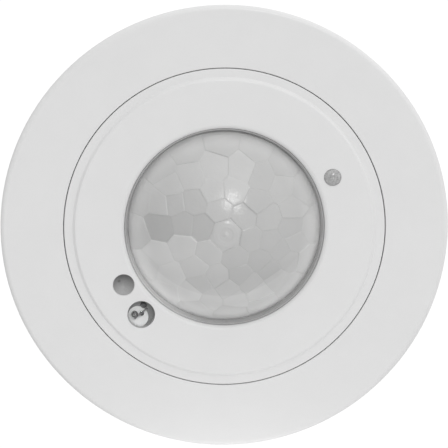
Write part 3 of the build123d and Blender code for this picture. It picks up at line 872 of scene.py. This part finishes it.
def add_tube(bm, path, radius, sides=12):
    """A closed tube of round wire along a list of points."""
    path = [Vector(p) for p in path]
    angles = [TAU * k / sides for k in range(sides)]
    side = None
    loops = []
    for i, at in enumerate(path):
        along = (path[min(i + 1, len(path) - 1)] - path[max(i - 1, 0)]).normalized()
        if side is None:
            side = along.orthogonal().normalized()
        side = (side - along * side.dot(along)).normalized()
        other = along.cross(side)
        loops.append([bm.verts.new(at + (side * math.cos(a) + other * math.sin(a)) * radius) for a in angles])
    for low, high in zip(loops, loops[1:]):
        for k in range(sides):
            n = (k + 1) % sides
            bm.faces.new((low[k], low[n], high[n], high[k]))
    bm.faces.new(loops[0][::-1])
    bm.faces.new(loops[-1])


def add_bar(bm, corners, low, high):
    """A flat prism over four corners in the working plane."""
    bottom = [bm.verts.new((*c, low)) for c in corners]
    top = [bm.verts.new((*c, high)) for c in corners]
    bm.faces.new(bottom[::-1])
    bm.faces.new(top)
    for i in range(len(corners)):
        j = (i + 1) % len(corners)
        bm.faces.new((bottom[i], bottom[j], top[j], top[i]))


# --------------------------------------------------------------------------------------------------
# Clear receiver: a moulded dome round its lead frame
# --------------------------------------------------------------------------------------------------

RECEIVER_EDGE = 0.1  # chamfer round the foot of the dome
LEAD_RING = (-1.05, -0.2)  # places on the lead frame, from the dome's axis
LEAD_POST = (0.45, 1.5)
DIE_CUP = (0.12, -0.05)
LEAD_RING_PROFILE = ((0.3, -0.3), (0.55, -0.3), (0.55, 0.2), (0.3, 0))  # radius, height on the frame
CUP_PROFILE = ((0, -0.2), (0.36, -0.2), (0.36, 0.15), (0.2, -0.02), (0, -0.02))
POST_PROFILE = ((0, -0.2), (0.5, -0.2), (0.62, 0), (0.45, 0.3), (0, 0.3))
LEAD_BAR = ((-1.05, -0.95, -0.1), (0, -0.05, 0), (1.1, 0.9, 0))
LEAD_BAR_R = 0.13
LEAD_LEG_R = 0.2
LEAD_LEG_FOOT = 0.02  # above the pocket's floor
LEAD_LEG_HEAD = 0.25  # below the lead frame
SEAT_Z = 0.01  # above the pocket's floor
SEAT_THICK = 0.04
# The grey sheet of painted shade on the receiver's seat
SHADE_Z = 0.07
SHADE_THICK = 0.12
SHADE_GAP = 0.08  # from the dome's side
SHADE_HOLE_R = 1.75
SHADE_HOLE_SHIFT = 0.62  # down and to the left
SHADE_STEPS = 64


def raised(profile, z):
    return [(r, z + h) for r, h in profile]


def make_receiver():
    low, high = (Vector(corner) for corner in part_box("receiver_dome"))
    x, y = (low.x + high.x) / 2 / MM, (low.z + high.z) / 2 / MM
    radius = (high.x - low.x) / 2 / MM
    floor, top = -high.y / MM, -low.y / MM
    frame_z = top - radius  # the lead frame lies at the middle of the dome's sphere
    make_receiver_dome((x, y), radius, floor, top)
    make_receiver_leads(x, y, floor, frame_z)
    make_receiver_backing(x, y, radius, floor)


def make_receiver_dome(at, radius, floor, top):
    centre = top - radius
    profile = [(0, floor), (radius - RECEIVER_EDGE, floor), (radius, floor + RECEIVER_EDGE), (radius, centre)]
    for i in range(1, 16):
        out, rise = polar(radius, 90 * i / 16)
        profile.append((out, centre + rise))
    profile.append((0, top))
    dome = bmesh.new()
    add_turned(dome, profile, at, steps=96)
    epoxy = clear_epoxy("receiver_epoxy")
    link_mesh("receiver_moulding", dome, epoxy, "detector", "receiver_dome")


def make_receiver_leads(x, y, floor, z):
    plate = metal("receiver_lead_plate", (0.30, 0.30, 0.30), 0.25)
    dark = paint("receiver_dark", (0.06, 0.06, 0.063), 0.4, bump_mm=0.006)
    ring = (x + LEAD_RING[0], y + LEAD_RING[1])
    post = (x + LEAD_POST[0], y + LEAD_POST[1])
    leads = bmesh.new()
    add_turned(leads, raised(LEAD_RING_PROFILE, z), ring, 32)
    add_tube(leads, [(x + dx, y + dy, z + dz) for dx, dy, dz in LEAD_BAR], LEAD_BAR_R)
    for foot in (ring, post):
        add_tube(leads, [(*foot, floor + LEAD_LEG_FOOT), (*foot, z - LEAD_LEG_HEAD)], LEAD_LEG_R)
    link_mesh("receiver_leads", leads, plate, "detector", "receiver_frame")
    cup = bmesh.new()
    add_turned(cup, raised(CUP_PROFILE, z), (x + DIE_CUP[0], y + DIE_CUP[1]), 24)
    link_mesh("receiver_die_cup", cup, dark, "detector", "receiver_chip")
    block = bmesh.new()
    add_turned(block, raised(POST_PROFILE, z), post, 24)
    link_mesh("receiver_post", block, dark, "detector", None)


def make_receiver_backing(x, y, radius, floor):
    """The white seat under the dome, and on it a grey sheet of painted shade with a round hole that sits off
    centre, so that it is widest at the upper right.
    """
    white = paint("receiver_white", (0.95, 0.95, 0.95), 0.4, bump_mm=0.006)
    # grey of the painted shade
    grey = paint("receiver_painted_shade", (0.24, 0.24, 0.24), 0.4, bump_mm=0.006)
    seat = bmesh.new()
    seat_r = radius - RECEIVER_EDGE
    bottom, top = floor + SEAT_Z, floor + SEAT_Z + SEAT_THICK
    add_turned(seat, [(0, bottom), (seat_r, bottom), (seat_r, top), (0, top)], (x, y))
    link_mesh("receiver_seat", seat, white, "detector", None)

    shade = bmesh.new()
    outside, inside = [], []
    for i in range(SHADE_STEPS):
        a = TAU * i / SHADE_STEPS
        out = radius - SHADE_GAP
        outside.append((x + out * math.cos(a), y + out * math.sin(a)))
        hole_x, hole_y = x - SHADE_HOLE_SHIFT, y - SHADE_HOLE_SHIFT
        inside.append((hole_x + SHADE_HOLE_R * math.cos(a), hole_y + SHADE_HOLE_R * math.sin(a)))
    levels = []
    for z in (floor + SHADE_Z, floor + SHADE_Z + SHADE_THICK):
        levels.append([[shade.verts.new((*place, z)) for place in loop] for loop in (outside, inside)])
    (out_low, in_low), (out_high, in_high) = levels
    for i in range(SHADE_STEPS):
        j = (i + 1) % SHADE_STEPS
        for a, b in ((out_low, in_low), (out_high, in_high), (out_low, out_high), (in_low, in_high)):
            shade.faces.new((a[i], a[j], b[j], b[i]))
    link_mesh("receiver_painted_shade_sheet", shade, grey, "detector", None)


# --------------------------------------------------------------------------------------------------
# Torsion springs of the clips
# --------------------------------------------------------------------------------------------------

CLIP_PIN_X = 29.3
CLIP_PIN_Z = -10.0
CLIP_ANGLE = 16.4
SPRING_WIRE_R = 0.28
SPRING_R = 1.55
SPRING_OUTER_Y = 6.85
SPRING_INNER_Y = 5.2
SPRING_WHOLE_TURNS = 2
SPRING_REACH = 9.0
SPRING_BAR_Z = 0.62
SPRING_BEND = 0.8
SPRING_LEG_LIFT = 0.08  # how far each long leg comes in above the cross bar
SPRING_STEPS = 66
FIXED_LEG = ((-SPRING_R, 0.4), (-SPRING_R - 0.1, -1), (-2.2, -4), (-2.35, -8.5))  # x, z from the pin


def clip_point(side, x, y, z, angle=CLIP_ANGLE):
    """From a clip's own coordinates, along its arm, to working millimetres."""
    a = math.radians(angle)
    across = CLIP_PIN_X + x * math.cos(a) - z * math.sin(a)
    return (side * across, side * y, CLIP_PIN_Z + x * math.sin(a) + z * math.cos(a))


def spring_half():
    """One coil, from its outer end to the leg that runs along the arm, ending at the middle of the loop."""
    meet = math.degrees(math.atan2(SPRING_BAR_Z, SPRING_REACH))
    leave = meet + math.degrees(math.acos(SPRING_R / math.hypot(SPRING_REACH, SPRING_BAR_Z)))
    turns = 360 * SPRING_WHOLE_TURNS + (180 - leave)
    points = []
    for i in range(SPRING_STEPS + 1):
        t = i / SPRING_STEPS
        x, z = polar(SPRING_R, leave + turns * (1 - t))
        points.append((x, SPRING_OUTER_Y + (SPRING_INNER_Y - SPRING_OUTER_Y) * t, z))
    last = points[-1]
    end = (SPRING_REACH - SPRING_BEND, SPRING_INNER_Y, SPRING_BAR_Z + SPRING_LEG_LIFT)
    for t in (0.33, 0.66, 1.0):
        points.append(tuple(a + (b - a) * t for a, b in zip(last, end)))
    for degrees in (30, 60, 90):
        rise, out = polar(SPRING_BEND, degrees)
        points.append((SPRING_REACH - SPRING_BEND + out, SPRING_INNER_Y - SPRING_BEND + rise, SPRING_BAR_Z))
    points.append((SPRING_REACH, SPRING_INNER_Y / 2, SPRING_BAR_Z))
    return points


def make_clip_springs():
    """Each clip has one wire with a coil at both ends of its pin. Its outer ends rest on the can."""
    steel = metal("music_wire", (0.50, 0.51, 0.53), 0.22, stretch=(3, 3, 3))
    half = spring_half()
    loop = half + [(SPRING_REACH, 0, SPRING_BAR_Z)] + [(x, -y, z) for x, y, z in reversed(half)]
    for side, word in ((-1, "left"), (1, "right")):
        wire = bmesh.new()
        add_tube(wire, [clip_point(side, *p) for p in loop], SPRING_WIRE_R, sides=10)
        name = f"clip_spring_{word}"
        link_mesh(f"{name}_wire", wire, steel, f"{word}_clip", name)
        legs = bmesh.new()
        for end in (-1, 1):
            points = [clip_point(side, x, end * SPRING_OUTER_Y, z, 0) for x, z in FIXED_LEG]
            add_tube(legs, points, SPRING_WIRE_R, sides=10)
        link_mesh(f"{name}_fixed_legs", legs, steel, "detector", None)


# --------------------------------------------------------------------------------------------------
# Printed marks on the back
# --------------------------------------------------------------------------------------------------

DIAL_X = 9.0
DIAL_Y = 12.0
DIAL_SWEEP = 270
COVER_END = -39.8
TICK_COUNT = 11
TICK_INNER_R = 3.9
TICK_OUTER_R = 4.8
TICK_LONGER = 0.5
TICK_LONG_EVERY = 5
TICK_HALF_WIDE = 0.13
INK_BELOW = 0.06
INK_ABOVE = 0.05


def make_dial_scales():
    """Scale marks round the two dials: short ticks, longer at the ends and the middle."""
    ink = paint("scale_ink", (0.035, 0.035, 0.037), 0.5, speckle=0.1, bump_mm=0.004)
    for side, word in ((-1, "time"), (1, "light")):
        middle = Vector((side * DIAL_X, DIAL_Y))
        marks = bmesh.new()
        for i in range(TICK_COUNT):
            a = math.radians(90 - DIAL_SWEEP / 2 + DIAL_SWEEP * i / (TICK_COUNT - 1))
            outer = TICK_OUTER_R + (TICK_LONGER if i % TICK_LONG_EVERY == 0 else 0)
            along = Vector((math.cos(a), math.sin(a)))
            across = Vector((-math.sin(a), math.cos(a))) * TICK_HALF_WIDE
            near, far = middle + along * TICK_INNER_R, middle + along * outer
            corners = (near - across, far - across, far + across, near + across)
            add_bar(marks, [tuple(c) for c in corners], COVER_END - INK_BELOW, COVER_END + INK_ABOVE)
        link_mesh(f"{word}_dial_scale", marks, ink, "detector", None)


make_camera()
make_world()
make_softbox()
make_strip()
make_floor()
bpy.context.scene.view_settings.view_transform = "Standard"
make_lens()
dress_mouldings()
dress_other_pieces()
make_receiver()
make_clip_springs()
make_dial_scales()
